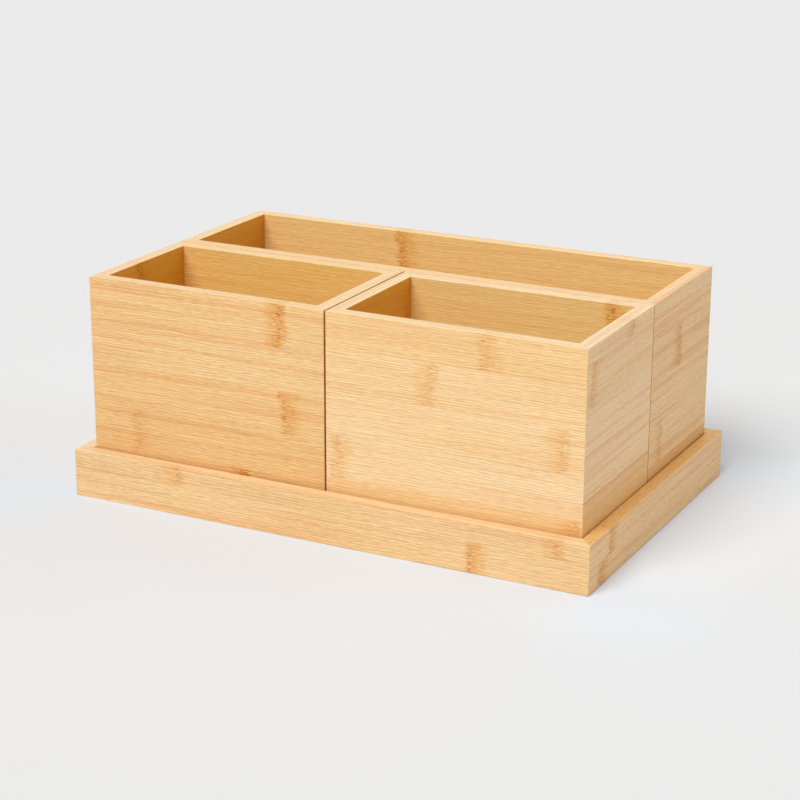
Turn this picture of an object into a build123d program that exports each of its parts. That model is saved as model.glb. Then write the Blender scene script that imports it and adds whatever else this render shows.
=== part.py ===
from build123d import *
import os

# Vanity organizer: a low bamboo tray that holds loose open-topped bins, two
# small ones side by side at the front and a long one behind them. Tray and
# bins are made alike: four mitred boards round a floor panel in a groove.
# Millimetres. X runs to the right along the front, Y to the back, Z up, and
# the origin is under the middle of the tray, on the surface it stands on.

# Tray
tray_width = 300.0
tray_depth = 193.0
tray_height = 26.5
rail_thickness = 7.5
tray_floor_thickness = 5.0
tray_floor_recess = 2.5

# Bins
bin_height = 114.0
wall_thickness = 7.5
bin_floor_thickness = 5.0
bin_floor_recess = 3.0

# Play that lets each bin lift out of the tray
side_play = 0.3
front_play = 1.5
back_play = 0.5
gap_between_rows = 0.7
gap_between_bins = 1.0

# Joinery
groove_depth = 3.5
panel_edge_gap = 0.3
panel_edge_chamfer = 0.5
corner_radius = 0.8
rim_radius = 0.8
inner_rim_radius = 0.6
foot_chamfer = 0.4

# Worked out from the above
tray_room_width = tray_width - 2 * rail_thickness
tray_room_depth = tray_depth - 2 * rail_thickness
small_bin_width = (tray_room_width - 2 * side_play - gap_between_bins) / 2
long_bin_width = tray_room_width - 2 * side_play
bin_depth = (tray_room_depth - front_play - gap_between_rows - back_play) / 2
front_row_y = -tray_room_depth / 2 + front_play + bin_depth / 2
back_row_y = tray_room_depth / 2 - back_play - bin_depth / 2
small_bin_x = (small_bin_width + gap_between_bins) / 2
bin_base_z = tray_floor_recess + tray_floor_thickness


def outline_edges(frame, width, depth, height):
    """The edges at one height that lie on a width by depth outline, or on
    that outline's rounded corners."""

    def on_outline(edge):
        middle = edge.center()
        off_side = width / 2 - abs(middle.X)
        off_front = depth / 2 - abs(middle.Y)
        return -0.001 < min(off_side, off_front) < corner_radius

    level = frame.edges().filter_by_position(Axis.Z, height - 0.001, height + 0.001)
    return level.filter_by(on_outline)


def glued_frame(width, depth, height, thickness, groove_z, groove_height):
    """Four boards glued up as one frame. Its rims are sanded round, its foot
    has a small chamfer, and the groove for the floor panel runs round the
    inside."""
    inner_width = width - 2 * thickness
    inner_depth = depth - 2 * thickness
    outline = RectangleRounded(width, depth, corner_radius)
    frame = extrude(outline - Rectangle(inner_width, inner_depth), height)

    frame = fillet(outline_edges(frame, inner_width, inner_depth, height), inner_rim_radius)
    frame = fillet(outline_edges(frame, width, depth, height), rim_radius)
    frame = chamfer(outline_edges(frame, width, depth, 0), foot_chamfer)

    groove_outline = Rectangle(inner_width + 2 * groove_depth, inner_depth + 2 * groove_depth)
    groove = Pos(0, 0, groove_z) * extrude(groove_outline, groove_height)
    return frame - groove


def part_at_mitres(frame, width, depth, height, thickness):
    """Saw the frame apart along its four corner mitres, into named boards."""
    inner_width = width - 2 * thickness
    inner_depth = depth - 2 * thickness
    front_plan = Polygon(
        (-width / 2, -depth / 2),
        (width / 2, -depth / 2),
        (inner_width / 2, -inner_depth / 2),
        (-inner_width / 2, -inner_depth / 2),
        align=None,
    )
    right_plan = Polygon(
        (width / 2, -depth / 2),
        (width / 2, depth / 2),
        (inner_width / 2, inner_depth / 2),
        (inner_width / 2, -inner_depth / 2),
        align=None,
    )
    plans = {
        "front": front_plan,
        "back": Rot(0, 0, 180) * front_plan,
        "left": Rot(0, 0, 180) * right_plan,
        "right": right_plan,
    }
    return {side: (frame & extrude(plan, height)).solid() for side, plan in plans.items()}


def floor_panel(width, depth, thickness, panel_z, panel_thickness):
    """The panel let into the groove, short of the groove's bottom all round,
    with its edges broken so that it slides in."""
    reach = 2 * (groove_depth - panel_edge_gap)
    outline = Rectangle(width - 2 * thickness + reach, depth - 2 * thickness + reach)
    panel = Pos(0, 0, panel_z) * extrude(outline, panel_thickness)
    flat_edges = panel.edges().filter_by(Axis.Z, reverse=True)
    return chamfer(flat_edges, panel_edge_chamfer).solid()


def tray():
    """The tray's four rails and its floor panel, by node name."""
    frame = glued_frame(
        tray_width, tray_depth, tray_height, rail_thickness, tray_floor_recess, tray_floor_thickness
    )
    rails = part_at_mitres(frame, tray_width, tray_depth, tray_height, rail_thickness)
    pieces = {f"tray_{side}_rail": rail for side, rail in rails.items()}
    pieces["tray_floor_panel"] = floor_panel(
        tray_width, tray_depth, rail_thickness, tray_floor_recess, tray_floor_thickness
    )
    return pieces


def storage_bin(name, width, x, y):
    """One bin's four walls and its floor panel, standing on the tray's floor."""
    frame = glued_frame(
        width, bin_depth, bin_height, wall_thickness, bin_floor_recess, bin_floor_thickness
    )
    walls = part_at_mitres(frame, width, bin_depth, bin_height, wall_thickness)
    place = Pos(x, y, bin_base_z)
    pieces = {f"{name}_{side}_wall": place * wall for side, wall in walls.items()}
    panel = floor_panel(width, bin_depth, wall_thickness, bin_floor_recess, bin_floor_thickness)
    pieces[f"{name}_floor_panel"] = place * panel
    return pieces


pieces = tray()
pieces.update(storage_bin("left_bin", small_bin_width, -small_bin_x, front_row_y))
pieces.update(storage_bin("right_bin", small_bin_width, small_bin_x, front_row_y))
pieces.update(storage_bin("rear_bin", long_bin_width, 0, back_row_y))

os.makedirs("parts", exist_ok=True)
for node, piece in pieces.items():
    export_step(piece, f"parts/{node}.step")
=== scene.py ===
import math

import bpy
import numpy as np
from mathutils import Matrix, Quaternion, Vector


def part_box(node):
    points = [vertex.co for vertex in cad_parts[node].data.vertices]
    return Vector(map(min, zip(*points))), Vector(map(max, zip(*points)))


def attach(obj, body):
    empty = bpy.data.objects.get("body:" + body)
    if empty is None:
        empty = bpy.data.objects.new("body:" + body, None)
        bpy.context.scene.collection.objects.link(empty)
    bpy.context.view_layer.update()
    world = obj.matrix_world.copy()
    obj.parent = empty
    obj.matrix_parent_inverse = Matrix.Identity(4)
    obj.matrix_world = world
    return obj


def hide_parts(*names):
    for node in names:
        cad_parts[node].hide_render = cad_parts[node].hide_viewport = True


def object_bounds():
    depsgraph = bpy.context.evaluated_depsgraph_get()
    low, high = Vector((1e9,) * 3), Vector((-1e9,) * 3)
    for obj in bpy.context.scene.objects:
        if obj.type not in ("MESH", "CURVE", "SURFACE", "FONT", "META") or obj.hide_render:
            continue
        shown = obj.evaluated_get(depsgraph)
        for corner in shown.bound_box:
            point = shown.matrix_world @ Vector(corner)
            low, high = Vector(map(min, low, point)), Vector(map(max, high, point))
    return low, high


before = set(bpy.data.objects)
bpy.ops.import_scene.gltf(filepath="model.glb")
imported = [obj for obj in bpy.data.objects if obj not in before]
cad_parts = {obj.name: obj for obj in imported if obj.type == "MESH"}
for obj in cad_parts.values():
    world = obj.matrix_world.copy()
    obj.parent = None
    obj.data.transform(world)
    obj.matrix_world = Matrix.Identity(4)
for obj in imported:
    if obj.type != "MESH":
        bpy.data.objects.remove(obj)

cad_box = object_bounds()
mm = 0.001


# Tray rails: four rails of 7.5 mm bamboo board, glued up from split bamboo
# strips pressed edge to edge, then mitred, glued at the corners, sanded and
# given a thin satin lacquer. The floor panel sits in a groove near the foot.

BOARD_THICKNESS = 7.5 * mm
STRIP_PITCH = 23 * mm
GROOVE_DEPTH = 3.5 * mm

# What sanding takes off the outer corners, the rim's outer and inner arrises,
# and the foot
CORNER_RADIUS = 0.2 * mm
RIM_RADIUS = 0.25 * mm
RAIL_INNER_RADIUS = 1.0 * mm
FOOT_CHAMFER = 0.4 * mm

# A real glue line is about 0.1 mm wide. It is drawn wider, so that it shows.
GLUE_LINE_WIDTH = 0.3 * mm
GLUE_LINE_DEPTH = 0.04 * mm


def linear(hex_colour):
    """The linear colour of an sRGB hex value: a straight line near black, and
    a power curve above it."""
    channels = np.array([int(hex_colour[i : i + 2], 16) for i in (1, 3, 5)]) / 255
    low = channels / 12.92
    high = ((channels + 0.055) / 1.055) ** 2.4
    return (*np.where(channels <= 0.04045, low, high).tolist(), 1.0)


def add(tree, kind, inputs=None, **settings):
    """A new node with its settings, and with each input set or linked. Inputs
    go by name, or by number where several share one. A node given as an input
    stands for its first output."""
    new = tree.nodes.new(kind)
    for setting, value in settings.items():
        setattr(new, setting, value)
    for key, value in (inputs or {}).items():
        if isinstance(value, bpy.types.Node):
            value = value.outputs[0]
        if isinstance(value, bpy.types.NodeSocket):
            tree.links.new(value, new.inputs[key])
        else:
            new.inputs[key].default_value = value
    return new


def fibres(tree, grain, length, width):
    """Flat noise drawn out along the grain, from 0 to 1 about a middle of
    0.5. The length and width are those of one mark, in millimetres."""
    size = (1 / (length * mm), 1 / (width * mm), 0)
    drawn_out = add(tree, "ShaderNodeVectorMath", {0: grain, 1: size}, operation="MULTIPLY")
    settings = {"Vector": drawn_out, "Scale": 1.0, "Detail": 0.0}
    return add(tree, "ShaderNodeTexNoise", settings, noise_dimensions="2D")


def layered(tree, grain, layers, start):
    """Fibre marks of several sizes added up, about the value that they start
    from."""
    middle = sum(amount for _, _, amount in layers) / 2
    total = add(tree, "ShaderNodeMath", {0: start, 1: middle}, operation="SUBTRACT")
    for length, width, amount in layers:
        marks = {0: fibres(tree, grain, length, width), 1: amount, 2: total}
        total = add(tree, "ShaderNodeMath", marks, operation="MULTIPLY_ADD")
    return total


# Marks in the bamboo, as one mark's length and width in mm and how strongly it
# shows. Real fibres are 0.1 to 0.3 mm wide, less than a pixel, so they are
# drawn as coarse as they need to show.
FIBRE_LAYERS = ((5, 0.5, 1.0), (60, 0.55, 0.85))
BAND_LAYERS = ((110, 9, 0.22),)
LINE_LENGTH, LINE_PITCH, LINE_AMOUNT = 30, 1.25, 0.85


def fibre_lines(tree, grain):
    """Long fibre lines that wander a little, with vessel dashes over them,
    about a middle of 0.5. The wave draws one line in each tenth of pi."""
    line_size = (1 / (LINE_LENGTH * mm), math.pi / 10 / (LINE_PITCH * mm), 0)
    drawn_out = add(tree, "ShaderNodeVectorMath", {0: grain, 1: line_size}, operation="MULTIPLY")
    wander = {"Vector": drawn_out, "Scale": 1.0, "Distortion": 6.0, "Detail": 1.0, "Detail Scale": 1.5}
    wave = add(tree, "ShaderNodeTexWave", wander, bands_direction="Y")
    dashes = layered(tree, grain, FIBRE_LAYERS, 0.5 - LINE_AMOUNT / 2)
    return add(tree, "ShaderNodeMath", {0: wave, 1: LINE_AMOUNT, 2: dashes}, operation="MULTIPLY_ADD")


# The mark of the cane's node. Its line wavers and its fibres fray: the length
# and width of one waver or fray in mm, and how far it can shift the blush,
# which lies between the next two places.
WAVER = (60, 9)
WAVER_REACH = 5 * mm
FRAY = (8, 0.9)
FRAY_REACH = 7 * mm
BLUSH_START = -12.5 * mm
BLUSH_END = 11.5 * mm

# The blush is mottled and streaked with brown: the length and width of one
# mark in mm, and the noise between which it comes in. The streaks are thickest
# within the core about the line, and thin out as far as the reach.
MOTTLE = (2.4, 0.9)
MOTTLE_LIMITS = (0.3, 0.7)
MOTTLE_SHARE = (0.6, 1.4)
STREAK = (3.2, 0.65)
STREAK_LIMITS = (0.9, 1.03)
STREAK_GAIN = 0.29
STREAK_CORE = 1.5 * mm
STREAK_REACH = 6.5 * mm

# How the tan blush deepens towards a node's line and fades past it
BLUSH_STOPS = (
    (0.3, "#ffffff"),
    (0.5, "#f8e6c0"),
    (0.62, "#f2d49a"),
    (0.75, "#ebbe68"),
    (0.84, "#f2d49a"),
    (0.94, "#ffffff"),
)


def node_marks(tree, grain, past_node, strength):
    """The mark of the cane's node, from the distance past it: how strong the
    tan blush is, its colour, and how strong the brown streaks are."""
    wavers = {0: fibres(tree, grain, *WAVER), 1: WAVER_REACH, 2: past_node}
    from_node = add(tree, "ShaderNodeMath", wavers, operation="MULTIPLY_ADD")
    frays = {0: fibres(tree, grain, *FRAY), 1: FRAY_REACH, 2: from_node}
    frayed = add(tree, "ShaderNodeMath", frays, operation="MULTIPLY_ADD")
    span = {"Value": frayed, "From Min": BLUSH_START, "From Max": BLUSH_END}
    blush = add(tree, "ShaderNodeValToRGB", {0: add(tree, "ShaderNodeMapRange", span)})
    blush.color_ramp.interpolation = "EASE"
    for place, colour in BLUSH_STOPS:
        blush.color_ramp.elements.new(place).color = linear(colour)
    blush.color_ramp.elements.remove(blush.color_ramp.elements[0])
    blush.color_ramp.elements.remove(blush.color_ramp.elements[-1])
    patches = {
        "Value": fibres(tree, grain, *MOTTLE),
        "From Min": MOTTLE_LIMITS[0],
        "From Max": MOTTLE_LIMITS[1],
        "To Min": MOTTLE_SHARE[0],
        "To Max": MOTTLE_SHARE[1],
    }
    mottle = add(tree, "ShaderNodeMapRange", patches)
    blush_strength = add(tree, "ShaderNodeMath", {0: strength, 1: mottle}, operation="MULTIPLY")

    # Streaks along the grain, thickest about the middle of the wavering line
    from_line = add(tree, "ShaderNodeMath", {0: from_node, 1: WAVER_REACH / 2}, operation="SUBTRACT")
    nearness = {
        "Value": add(tree, "ShaderNodeMath", {0: from_line}, operation="ABSOLUTE"),
        "From Min": STREAK_CORE,
        "From Max": STREAK_REACH,
        "To Min": STREAK_GAIN,
        "To Max": 0.0,
    }
    near = add(tree, "ShaderNodeMapRange", nearness)
    thickened = add(tree, "ShaderNodeMath", {0: fibres(tree, grain, *STREAK), 1: near}, operation="ADD")
    cut = {
        "Value": thickened,
        "From Min": STREAK_LIMITS[0],
        "From Max": STREAK_LIMITS[1],
        "To Min": 0.0,
        "To Max": strength,
    }
    streaks = add(tree, "ShaderNodeMapRange", cut, interpolation_type="SMOOTHSTEP")
    return blush_strength, blush, streaks


# What the marks multiply the bamboo's colour by, and where the rosy bands and
# the shade over a glue line lie
FIBRE_SHADE = "#e4dac6"
ROSY_SHADE = "#f6dccb"
STREAK_SHADE = "#cb9550"
GLUE_SHADE = "#e2c49a"
HONEY_SHADE = "#fde668"
ROSY_BAND = (160, 3.5)
ROSY_LIMITS = (0.48, 0.72)
GLUE_SHADE_REACH = 0.35 * mm
GLUE_SHADE_AMOUNT = 0.5

# Thin satin lacquer over open grain: rougher and a little sunk at the fibres
LACQUER_IOR = 1.5
LACQUER_ROUGHNESS = (0.42, 0.5)
GRAIN_LIMITS = (0.3, 0.7)
GRAIN_DEPTH = 0.02 * mm
GRAIN_STRENGTH = 0.2


def lacquered_bamboo(name, pale, honey, amber):
    """Pressed bamboo strip under thin satin lacquer: straight fibre lines and
    short vessel dashes along the grain, each strip a tone of its own between
    pale and amber, a tan blush with brown streaks where the cane had its node,
    and a soft sheen."""
    material = bpy.data.materials.new(name)
    material.use_nodes = True
    tree = material.node_tree
    tree.nodes.clear()

    grain = add(tree, "ShaderNodeAttribute", attribute_name="grain").outputs["Vector"]
    strip = add(tree, "ShaderNodeAttribute", attribute_name="strip").outputs["Vector"]
    finish = add(tree, "ShaderNodeAttribute", attribute_name="finish").outputs["Vector"]
    _, _, above_seam = add(tree, "ShaderNodeSeparateXYZ", {0: grain}).outputs
    past_node, node_strength, tone = add(tree, "ShaderNodeSeparateXYZ", {0: strip}).outputs
    honeyed, contrast, rosiness = add(tree, "ShaderNodeSeparateXYZ", {0: finish}).outputs

    bands = layered(tree, grain, BAND_LAYERS, tone)
    level = add(tree, "ShaderNodeMix", {0: contrast, 2: tone, 3: bands}, data_type="FLOAT")
    ramp = add(tree, "ShaderNodeValToRGB", {0: level})
    ramp.color_ramp.elements[0].color = linear(amber)
    ramp.color_ramp.elements[1].color = linear(pale)
    ramp.color_ramp.elements.new(0.5).color = linear(honey)

    # The lines are fainter on the boards that were cut from finer cane
    lines = fibre_lines(tree, grain)
    dark_fibres = add(tree, "ShaderNodeMix", {0: contrast, 2: 0.5, 3: lines}, data_type="FLOAT")
    blush_strength, blush, streaks = node_marks(tree, grain, past_node, node_strength)
    rosy_share = {
        "Value": fibres(tree, grain, *ROSY_BAND),
        "From Min": ROSY_LIMITS[0],
        "From Max": ROSY_LIMITS[1],
        "To Min": 0.0,
        "To Max": rosiness,
    }
    rosy = add(tree, "ShaderNodeMapRange", rosy_share, interpolation_type="SMOOTHSTEP")
    glue_share = {
        "Value": above_seam,
        "From Min": 0.0,
        "From Max": GLUE_SHADE_REACH,
        "To Min": GLUE_SHADE_AMOUNT,
        "To Max": 0.0,
    }
    glue_line = add(tree, "ShaderNodeMapRange", glue_share, interpolation_type="SMOOTHSTEP")

    # On the outer faces the honey wash is each strip's own yellow cast. On the inner faces it is painted, a
    # deeper yellow for the bounce light inside the box.
    colour = ramp
    for amount, shade in (
        (dark_fibres, linear(FIBRE_SHADE)),
        (rosy, linear(ROSY_SHADE)),
        (blush_strength, blush),
        (streaks, linear(STREAK_SHADE)),
        (glue_line, linear(GLUE_SHADE)),
        (honeyed, linear(HONEY_SHADE)),
    ):
        shaded = {0: amount, 6: colour, 7: shade}
        colour = add(tree, "ShaderNodeMix", shaded, data_type="RGBA", blend_type="MULTIPLY").outputs[2]

    open_grain = {
        "Value": lines,
        "From Min": GRAIN_LIMITS[0],
        "From Max": GRAIN_LIMITS[1],
        "To Min": LACQUER_ROUGHNESS[0],
        "To Max": LACQUER_ROUGHNESS[1],
    }
    roughness = add(tree, "ShaderNodeMapRange", open_grain)
    relief = {"Height": lines, "Strength": GRAIN_STRENGTH, "Distance": -GRAIN_DEPTH}
    bump = add(tree, "ShaderNodeBump", relief)
    surface = {"Base Color": colour, "Roughness": roughness, "IOR": LACQUER_IOR, "Normal": bump}
    shader = add(tree, "ShaderNodeBsdfPrincipled", surface)
    add(tree, "ShaderNodeOutputMaterial", {"Surface": shader})
    return material


# How finely a board's surface is divided: along it, at its ends, and round an
# arris, where no edge is longer than the last of these
COLUMN_SPACING = 6 * mm
END_BAND = 0.3 * mm
ARC_STEPS = 5
LONGEST_ARC_EDGE = 0.35 * mm


def arc(centre_depth, centre_height, radius, start, end):
    """Points of a quarter round: its centre plus the radius at even angles."""
    angles = np.radians(np.linspace(start, end, ARC_STEPS + 1))
    return np.stack([centre_depth + radius * np.cos(angles), centre_height + radius * np.sin(angles)], -1)


def seam_points(depth, inward, seams):
    """Three points for each glue line, from the lowest up: a shallow V that
    is cut into a flat face."""
    offsets = np.array([[0, -0.5], [1, 0], [0, 0.5]]) * [GLUE_LINE_DEPTH * inward, GLUE_LINE_WIDTH]
    return (offsets[None] + np.stack([np.full_like(seams, depth), seams], -1)[:, None]).reshape(-1, 2)


def wall_section(height, seams, groove, inner_radius):
    """A board's section, as depth from the outer face and height above the
    foot: up the outer face, over the eased rim, and down past the groove."""
    groove_low, groove_high = groove
    groove_floor = BOARD_THICKNESS - GROOVE_DEPTH
    outer_seams = seams[(seams > FOOT_CHAMFER * 2) & (seams < height - RIM_RADIUS * 2)]
    inner_seams = outer_seams[outer_seams > groove_high + GLUE_LINE_WIDTH]
    pieces = [
        [(FOOT_CHAMFER, 0), (0, FOOT_CHAMFER)],
        seam_points(0, 1, outer_seams),
        arc(RIM_RADIUS, height - RIM_RADIUS, RIM_RADIUS, 180, 90),
        arc(BOARD_THICKNESS - inner_radius, height - inner_radius, inner_radius, 90, 0),
        seam_points(BOARD_THICKNESS, -1, inner_seams)[::-1],
        [(BOARD_THICKNESS, groove_high), (groove_floor, groove_high)],
        [(groove_floor, groove_low), (BOARD_THICKNESS, groove_low), (BOARD_THICKNESS, 0)],
    ]
    return np.concatenate([np.asarray(piece, float).reshape(-1, 2) for piece in pieces])


# Seeded, so that every run cuts the same strips. Where no layout says, these
# are a top strip's height in mm, how far tones and casts stray, and a node's
# place in mm, strength and spacing in mm.
random = np.random.RandomState(11)
TOP_STRIP = (8, 23)
TONE_SPREAD = 0.16
CAST_SPREAD = 0.12
NODE_PLACE = (0, 230)
NODE_STRENGTH = (0.25, 0.7)
NODE_SPACING = (200, 320)


def cut_strips(count, look):
    """The strips of a board from the top down: each one's seed, tone, node
    and yellow cast, at random, and then as far as the board's look gives them.
    A strength's sign is the way that the blush fades."""
    strips = {
        "seed": random.uniform(0, 1, count),
        "tone": random.uniform(-TONE_SPREAD, TONE_SPREAD, count),
        "place": random.uniform(*NODE_PLACE, count),
        "strength": random.uniform(*NODE_STRENGTH, count) * random.choice([-1, 1], count),
        "spacing": random.uniform(*NODE_SPACING, count),
    }
    strips["cast"] = CAST_SPREAD * strips["seed"]
    for index, mark in enumerate(look["marks"][:count]):
        for key, value in zip(("place", "strength", "spacing"), mark):
            strips[key][index] = value
    for key in ("tone", "cast"):
        given = look[key + "s"][:count]
        strips[key][: len(given)] = given
    return strips


# A stretch of the section this close to a face belongs to it. Inner faces show
# their fibres less, and rims their nodes.
SKIN = 0.1 * mm
INNER_CONTRAST = 0.65
RIM_NODE_STRENGTH = 0.35


def stretch_looks(section, look):
    """The look of each stretch of a section, from one point to the next. It is
    that of the strip at its height, counted down from the top strip, with the
    tone and finish of the face that it is on."""
    depth, height = section.T
    next_depth, next_height = np.roll(section, -1, axis=0).T
    middle_depth = (depth + next_depth) / 2
    inside = middle_depth > depth.max() - SKIN
    on_rim = ~inside & (middle_depth > SKIN)
    top_seam = height.max() - look["top_strip"] * mm
    below_top = (top_seam - (height + next_height) / 2) / STRIP_PITCH
    from_top = np.ceil(np.clip(below_top, 0, None)).astype(int)
    strips = cut_strips(from_top.max() + 1, look)
    looks = {key: values[from_top] for key, values in strips.items()}
    # Inner faces take their painted tone and honey for the light and shade inside the box. Rims take their
    # own tone.
    face_tone = np.select([inside, on_rim], [look["inner_tone"], look["rim_tone"]], 0)
    looks["tone"] += look["tone"] + face_tone
    looks["strength"] *= np.where(on_rim, RIM_NODE_STRENGTH, 1)
    looks["lower_edge"] = top_seam - from_top * STRIP_PITCH
    looks["honey"] = np.where(inside, look["honey"], looks["cast"])
    looks["contrast"] = np.where(inside, INNER_CONTRAST, 1) * look["contrast"]
    looks["rosy"] = np.full_like(depth, look["rosy"])
    looks["eased"] = on_rim & (np.hypot(next_height - height, next_depth - depth) < LONGEST_ARC_EDGE)
    return looks


def board_grid(length, section, mitred):
    """A board's surface as place along it, depth and height. The section is
    carried along the length in even columns, and at a mitre each point stops
    its own depth short of the corner, past a last band that turns through
    half of the round arris."""
    depth, height = section.T
    half = length / 2 - np.maximum(depth * mitred, CORNER_RADIUS) - END_BAND
    columns = np.linspace(-1, 1, round(length / COLUMN_SPACING) + 1)[:, None] * half
    band = END_BAND if mitred else END_BAND + CORNER_RADIUS
    round_over = np.maximum(CORNER_RADIUS - depth, 0) * mitred
    turn = np.linspace(0, 1, ARC_STEPS + 1)[1:, None]
    angle = turn * math.pi / 4
    end = half + band * turn + round_over * np.sin(angle)
    sunk = depth + round_over * (1 - np.cos(angle))
    place = np.concatenate([-end[::-1], columns, end]) + length / 2
    depths = np.concatenate([sunk[::-1], np.broadcast_to(depth, columns.shape), sunk])
    return place, depths, np.broadcast_to(height, place.shape)


# Each strip takes its fibres from its own place in the pattern: its seed in
# metres along the grain, and this many times that across it
SHIFT_ACROSS = 0.7


def strip_board(name, corner, along, up, length, section, look, mitred=True):
    """A board of glued strips: a skin of quads over its grid of points, which
    is laid out from the corner, and a flat face at each end."""
    place, depths, heights = board_grid(length, section, mitred)
    points = (
        np.asarray(corner)
        + place[..., None] * np.asarray(along)
        - depths[..., None] * np.cross(along, up)
        + heights[..., None] * np.asarray(up)
    )
    rows, around = place.shape
    index = np.arange(rows * around).reshape(rows, around)
    beside = np.roll(index, -1, axis=1)
    quads = np.stack([index[:-1], index[1:], beside[1:], beside[:-1]], -1).reshape(-1, 4)
    ends = [index[0], index[-1][::-1]]
    mesh = bpy.data.meshes.new(name)
    mesh.from_pydata(points.reshape(-1, 3).tolist(), [], quads.tolist() + [end.tolist() for end in ends])

    # At each corner of each face, its stretch of the section and its place
    looks = stretch_looks(section, look)
    around_ends = [np.arange(around), np.arange(around)[::-1]]
    stretch = np.concatenate([np.repeat(np.tile(around_ends[0], rows - 1), 4), *around_ends])
    corner_points = np.concatenate([quads.ravel(), *ends])
    at_corner = {key: values[stretch] for key, values in looks.items()}
    along_board, deep, high = (grid.ravel()[corner_points] for grid in (place, depths, heights))

    # A whole face goes by the node of its strip that is nearest to its middle
    face_middle = along_board.copy()
    face_middle[: quads.size] = np.repeat(along_board[: quads.size].reshape(-1, 4).mean(axis=1), 4)
    first_node, spacing = at_corner["place"] * mm, at_corner["spacing"] * mm
    nearest = first_node + np.round((face_middle - first_node) / spacing) * spacing
    past_node = (along_board - nearest) * np.sign(at_corner["strength"])

    # Across the grain is up a face and over a rim alike
    seed = at_corner["seed"]
    values = {
        "grain": (along_board + seed, high + deep + seed * SHIFT_ACROSS, high - at_corner["lower_edge"]),
        "strip": (past_node, np.abs(at_corner["strength"]), at_corner["tone"] + 0.5),
        "finish": (at_corner["honey"], at_corner["contrast"], at_corner["rosy"]),
    }
    for key, parts in values.items():
        attribute = mesh.attributes.new(key, "FLOAT_VECTOR", "CORNER")
        attribute.data.foreach_set("vector", np.stack(parts, -1).ravel())

    # The rounded arrises are shaded smooth, and all else flat
    smooth = np.tile(looks["eased"], (rows - 1, 1))
    smooth[:ARC_STEPS] = True
    smooth[-ARC_STEPS:] = True
    mesh.polygons.foreach_set("use_smooth", np.append(smooth.ravel(), [False, False]))
    mesh.update()
    piece = bpy.data.objects.new(name, mesh)
    bpy.context.scene.collection.objects.link(piece)
    return piece


# How a board looks unless its layout says otherwise. "marks" are its nodes from
# the top strip down: each one's place from the board's left end in mm, its
# strength, and the spacing of that strip's nodes in mm. "tones" and "casts" are
# how pale and how yellow each strip is. "tone", "inner_tone" and "rim_tone" are
# added for the board, its inner face and its rim. "contrast" is how strongly
# the fibres show, and "honey" how strong a painted deeper yellow is on an inner
# face. An inner face is painted paler and deeper yellow as the light and bounce
# light inside a box, and the left boards' inner faces, which turn away from the
# key light, are painted darker and more yellow as shade. The boards across the
# frame's ends are cut from finer, rosier cane.
BOARD_LOOK = {"marks": (), "tones": (), "casts": (), "tone": 0.0, "inner_tone": 0.5, "rim_tone": 0.33}
SIDE_LOOKS = {
    "front": {**BOARD_LOOK, "contrast": 1.0, "rosy": 0.45, "honey": 0.6},
    "right": {**BOARD_LOOK, "contrast": 0.55, "rosy": 0.48, "honey": 0.6},
    "back": {**BOARD_LOOK, "contrast": 1.0, "rosy": 0.25, "honey": 0.6},
    "left": {**BOARD_LOOK, "contrast": 0.6, "rosy": 0.35, "honey": 1.0, "inner_tone": -0.22},
}


def mitred_frame(body, board, material, inner_radius, layouts):
    """Front, right, back and left boards round one floor panel, each run from
    its left end as seen from outside. The boxes of the four nodes give the
    frame's outer corners, and that of the panel gives the groove."""
    nodes = {side: f"{body}_{side}_{board}" for side in SIDE_LOOKS}
    boxes = [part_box(node) for node in nodes.values()]
    low = np.min([box[0] for box in boxes], axis=0)
    high = np.max([box[1] for box in boxes], axis=0)
    width, depth, height = high - low
    groove = [level[2] - low[2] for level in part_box(f"{body}_floor_panel")]
    runs = {
        "front": ((low[0], low[1], low[2]), (1, 0, 0), width),
        "right": ((high[0], low[1], low[2]), (0, 1, 0), depth),
        "back": ((high[0], high[1], low[2]), (-1, 0, 0), width),
        "left": ((low[0], high[1], low[2]), (0, -1, 0), depth),
    }
    for side, (corner, along, length) in runs.items():
        look = {"top_strip": random.uniform(*TOP_STRIP), **SIDE_LOOKS[side], **layouts.get(side, {})}
        seams = np.arange(height - look["top_strip"] * mm, 0, -STRIP_PITCH)[::-1]
        section = wall_section(height, seams, groove, inner_radius)
        piece = strip_board("bamboo_" + nodes[side], corner, along, (0, 0, 1), length, section, look)
        piece.data.materials.append(material)
        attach(piece, body)
        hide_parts(nodes[side])


rail_bamboo = lacquered_bamboo("Satin lacquered bamboo, rails", "#ffe5bc", "#f9d39f", "#eab96c")

# The strips of the front and right rails as the photograph shows them
tray_layouts = {
    "front": {"top_strip": 10, "marks": [(65, 0.4, 218), (235.5, -0.55, 400)], "tones": [-0.02, 0.04]},
    "right": {
        "top_strip": 14,
        "marks": [(27, -0.7), (16, -0.7)],
        "tones": [0.04, -0.04],
        # The rim is painted darker, as the shade that the bins cast on it
        "rim_tone": -0.4,
        "contrast": 0.85,
    },
    "back": {"rim_tone": -0.2},
}
mitred_frame("tray", "rail", rail_bamboo, RAIL_INNER_RADIUS, tray_layouts)


# Tray floor panel: 5 mm bamboo board that lies in the rails' groove. The
# bins stand on it and hide it. Its strips run along the tray's length.

PANEL_EDGE_CHAMFER = 0.5 * mm
PANEL_LOOK = {**SIDE_LOOKS["back"], "inner_tone": 0.0, "rim_tone": 0.0, "honey": 0.0, "rosy": 0.1}


def panel_section(width, thickness, seams):
    """A panel's section, as depth below its top face and place across it:
    flat faces with a small chamfer at each of the two long edges."""
    edge = PANEL_EDGE_CHAMFER
    inner_seams = seams[(seams > 3 * edge) & (seams < width - 3 * edge)]
    pieces = [
        [(edge, 0), (0, edge)],
        seam_points(0, 1, inner_seams),
        [(0, width - edge), (edge, width)],
        [(thickness - edge, width), (thickness, width - edge)],
        seam_points(thickness, -1, inner_seams)[::-1],
        [(thickness, edge), (thickness - edge, 0)],
    ]
    return np.concatenate([np.asarray(piece, float).reshape(-1, 2) for piece in pieces])


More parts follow.
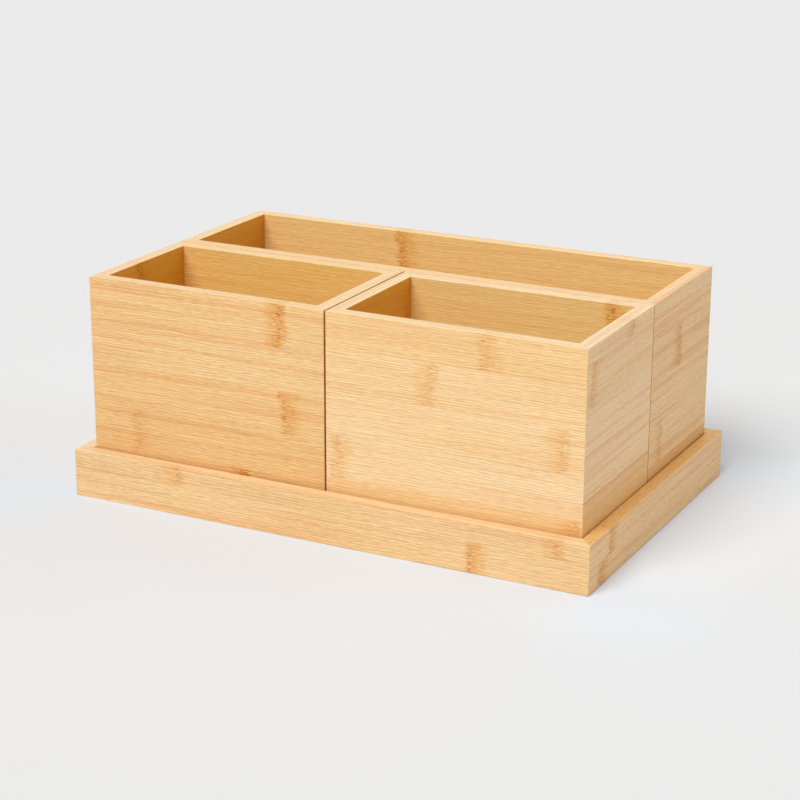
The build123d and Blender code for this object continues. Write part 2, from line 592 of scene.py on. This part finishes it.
def floor_panel(body, material):
    """A flat board of strips in the place of a body's floor panel."""
    node = f"{body}_floor_panel"
    low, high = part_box(node)
    length, width, thickness = (high[axis] - low[axis] for axis in range(3))
    look = {"top_strip": random.uniform(*TOP_STRIP), **PANEL_LOOK}
    seams = np.arange(width - look["top_strip"] * mm, 0, -STRIP_PITCH)[::-1]
    section = panel_section(width, thickness, seams)
    corner = (low[0], low[1], high[2])
    piece = strip_board("bamboo_" + node, corner, (1, 0, 0), (0, 1, 0), length, section, look, mitred=False)
    piece.data.materials.append(material)
    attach(piece, body)
    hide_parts(node)


panel_bamboo = lacquered_bamboo("Satin lacquered bamboo, floor panels", "#ffe3ac", "#f8d18d", "#e8b668")
floor_panel("tray", panel_bamboo)


# Front bins: two open boxes of the same 7.5 mm bamboo board, their walls
# mitred and glued like the rails. They stand side by side, a hair apart,
# and lift straight out. The left one is cut from darker, more honeyed board.

# The walls' inner arris is left sharper than the rails'
BIN_INNER_RADIUS = 0.3 * mm

# A strip whose node left no mark
NO_MARK = (-60, 0.0)

left_bamboo = lacquered_bamboo("Satin lacquered bamboo, left bin", "#ffe2b8", "#f9d095", "#e6ae60")

# The right wall's outer face, seen only down the gap beside it, is painted darker as the shade in that gap,
# and its rim and inner face are raised back by as much
left_layouts = {
    "front": {
        "top_strip": 23.4,
        "marks": [(116, 0.65), NO_MARK, (119, -0.5), (27, -0.25), (93, 0.7)],
        "tones": [0.0, 0.08, -0.04, -0.1, -0.14],
        "casts": [0.04, 0.0, 0.04, 0.0, 0.0],
        "rim_tone": 0.2,
        "contrast": 0.9,
    },
    "right": {"tone": -0.45, "rim_tone": 0.78, "inner_tone": 0.95},
    "left": {"top_strip": 20, "marks": [(52, 0.5), NO_MARK]},
    "back": {"top_strip": 22, "marks": [NO_MARK]},
}
right_bamboo = lacquered_bamboo("Satin lacquered bamboo, right bin", "#ffebca", "#ffdba8", "#f2c076")
right_layouts = {
    "front": {
        "top_strip": 18.5,
        "marks": [(88, -0.36), (59, 0.34), (131, 0.34), (5, -0.4), (138, 0.4)],
        "tones": [-0.05, 0.0, 0.04, 0.1, -0.12],
        "casts": [0.12, 0.04, 0.02, 0.02, 0.06],
        "contrast": 0.75,
        "rosy": 0.25,
    },
    "right": {
        "top_strip": 8.5,
        "marks": [(57, 0.5), (8, -0.4), NO_MARK, NO_MARK, NO_MARK],
        # The lowest strip is painted darker, as the shade where the wall stands in the tray
        "tones": [0.06, -0.04, 0.1, 0.05, -0.32],
        "casts": [0.0, 0.0, 0.0, 0.0, 0.0],
        "tone": -0.05,
        "rim_tone": 0.25,
    },
    "back": {"top_strip": 20, "marks": [(21, 0.62)], "honey": 0.5},
    # The left wall's inner face is painted darker still, as shade
    "left": {"inner_tone": -0.42},
}
mitred_frame("left_bin", "wall", left_bamboo, BIN_INNER_RADIUS, left_layouts)
floor_panel("left_bin", panel_bamboo)
mitred_frame("right_bin", "wall", right_bamboo, BIN_INNER_RADIUS, right_layouts)
floor_panel("right_bin", panel_bamboo)


# Rear bin: one long open box of 7.5 mm bamboo board across the back of the
# tray, made like the front ones. Its front wall, which stands close behind
# them, has its outer face painted darker as the shade in the gap between them.

rear_bamboo = lacquered_bamboo("Satin lacquered bamboo, rear bin", "#ffe6be", "#fbd49c", "#eab66a")
rear_layouts = {
    # Its outer face is painted darker as shade in the gap, and its rim and inner face are raised back by as
    # much
    "front": {"tone": -0.45, "rim_tone": 0.35, "inner_tone": 0.95},
    "right": {
        "top_strip": 20,
        "marks": [NO_MARK, (41, 0.65), NO_MARK, (16, 0.4), NO_MARK],
        # The lowest strip is painted darker, as the shade where the wall stands in the tray
        "tones": [0.02, -0.06, 0.02, 0.0, -0.25],
        "casts": [0.0, 0.0, 0.0, 0.0, 0.0],
        "tone": -0.06,
        "rim_tone": 0.15,
        "contrast": 0.7,
        "rosy": 0.62,
    },
    # Its inner face is painted paler still, as the light on it
    "back": {"top_strip": 21, "marks": [(185, 0.65)], "honey": 0.45, "inner_tone": 0.8, "rim_tone": 0.45},
    # The left wall's inner face is painted darker still, as shade
    "left": {"inner_tone": -0.42},
}
mitred_frame("rear_bin", "wall", rear_bamboo, BIN_INNER_RADIUS, rear_layouts)
floor_panel("rear_bin", panel_bamboo)


# Studio floor: a broad sheet of matt paper, an even pale grey. Close to the
# tray its grey is painted cooler where it is seen, to cancel the warm light
# that bounces off the bamboo, and that fades by the same share in each 55 mm.

FLOOR_SIZE = 24.0
PAPER_GREY = "#e4e4e4"
PAPER_COOL = "#e2eaf3"
FADE = 55 * mm


def seen_directly(tree):
    """One for a ray from the camera, off a gloss or through glass, and nought
    for the light that spreads from surface to surface."""
    light_path = add(tree, "ShaderNodeLightPath")
    seen = light_path.outputs["Is Camera Ray"]
    for kind in ("Is Glossy Ray", "Is Transmission Ray"):
        seen = add(tree, "ShaderNodeMath", {0: seen, 1: light_path.outputs[kind]}, operation="MAXIMUM")
    return seen


def studio_paper(edge):
    """Matt white paper, which gives the eye a soft, even grey with no sheen.
    Its painted coolness, which cancels the warm light that bounces off the
    bamboo, is the power of e at minus the distance past the tray's edge over the fade."""
    material = bpy.data.materials.new("Matt white paper")
    material.use_nodes = True
    tree = material.node_tree
    tree.nodes.clear()
    place = add(tree, "ShaderNodeTexCoord").outputs["Object"]
    mirrored = add(tree, "ShaderNodeVectorMath", {0: place}, operation="ABSOLUTE")
    past_edge = add(tree, "ShaderNodeVectorMath", {0: mirrored, 1: edge}, operation="SUBTRACT")
    outside = add(tree, "ShaderNodeVectorMath", {0: past_edge, 1: (0, 0, 0)}, operation="MAXIMUM")
    distance = add(tree, "ShaderNodeVectorMath", {0: outside}, operation="LENGTH").outputs["Value"]
    fades = add(tree, "ShaderNodeMath", {0: distance, 1: -1 / FADE}, operation="MULTIPLY")
    near_tray = add(tree, "ShaderNodeMath", {0: fades}, operation="EXPONENT")
    cooled = add(tree, "ShaderNodeMath", {0: near_tray, 1: seen_directly(tree)}, operation="MULTIPLY")
    greys = {0: cooled, 6: linear(PAPER_GREY), 7: linear(PAPER_COOL)}
    colour = add(tree, "ShaderNodeMix", greys, data_type="RGBA").outputs[2]
    shader = add(tree, "ShaderNodeBsdfDiffuse", {"Color": colour})
    add(tree, "ShaderNodeOutputMaterial", {"Surface": shader})
    return material


floor_mesh = bpy.data.meshes.new("studio_floor")
reach = FLOOR_SIZE / 2
floor_corners = [(-reach, -reach, 0), (reach, -reach, 0), (reach, reach, 0), (-reach, reach, 0)]
floor_mesh.from_pydata(floor_corners, [], [(0, 1, 2, 3)])
floor_mesh.materials.append(studio_paper((*cad_box[1][:2], 0)))
floor = bpy.data.objects.new("studio_floor", floor_mesh)
bpy.context.scene.collection.objects.link(floor)


# Studio light: a soft key light from the front left, weaker lights from the
# back and from low behind the right side, and an even sky, so that the front
# is brightest and the right side softer. The backdrop is a pale grey.

SKY_STRENGTH = 0.32
BACKDROP_GREY = "#ececec"

world = bpy.data.worlds.new("studio")
bpy.context.scene.world = world
world.use_nodes = True
sky_tree = world.node_tree
sky_tree.nodes.clear()
sky = add(sky_tree, "ShaderNodeBackground", {"Color": (1, 1, 1, 1), "Strength": SKY_STRENGTH})
backdrop = add(sky_tree, "ShaderNodeBackground", {"Color": linear(BACKDROP_GREY), "Strength": 1.0})
either = add(sky_tree, "ShaderNodeMixShader", {0: seen_directly(sky_tree), 1: sky, 2: backdrop})
add(sky_tree, "ShaderNodeOutputWorld", {"Surface": either})


def softbox(name, from_front, height, spread, energy):
    """A broad lamp, far off, in a direction given by its angle round from the
    front and its height above the floor, and as wide as its spread, all in
    degrees."""
    data = bpy.data.lights.new(name, "SUN")
    data.energy = energy
    data.angle = math.radians(spread)
    lamp = bpy.data.objects.new(name, data)
    bpy.context.scene.collection.objects.link(lamp)
    turn, rise = math.radians(from_front), math.radians(height)
    towards = Vector((-math.sin(turn) * math.cos(rise), math.cos(turn) * math.cos(rise), -math.sin(rise)))
    lamp.rotation_mode = "QUATERNION"
    lamp.rotation_quaternion = towards.to_track_quat("-Z", "Y")


softbox("key", from_front=-10, height=50, spread=36, energy=2.32)
softbox("back_light", from_front=180, height=60, spread=50, energy=0.46)
softbox("right_fill", from_front=122, height=20, spread=50, energy=0.5)


# Camera: at the photograph's angle, from above the front right corner, with
# its place, angles and lens fitted to the edges of the boards.

CAMERA_PLACE = (497.8 * mm, -976.4 * mm, 408.3 * mm)
CAMERA_AZIMUTH = math.radians(27.11)
CAMERA_ELEVATION = math.radians(18.14)
CAMERA_ROLL = math.radians(0.24)
LENS, SENSOR_WIDTH = 95.2, 36.0

camera_data = bpy.data.cameras.new("camera")
camera_data.sensor_width = SENSOR_WIDTH
camera_data.lens = LENS
camera = bpy.data.objects.new("camera", camera_data)
bpy.context.scene.collection.objects.link(camera)
ahead = math.cos(CAMERA_ELEVATION)
looking = (-math.sin(CAMERA_AZIMUTH) * ahead, math.cos(CAMERA_AZIMUTH) * ahead, -math.sin(CAMERA_ELEVATION))
level_view = Vector(looking).to_track_quat("-Z", "Y")
camera.location = CAMERA_PLACE
camera.rotation_mode = "QUATERNION"
camera.rotation_quaternion = level_view @ Quaternion((0, 0, 1), CAMERA_ROLL)
bpy.context.scene.camera = camera
bpy.context.scene.view_settings.view_transform = "Standard"
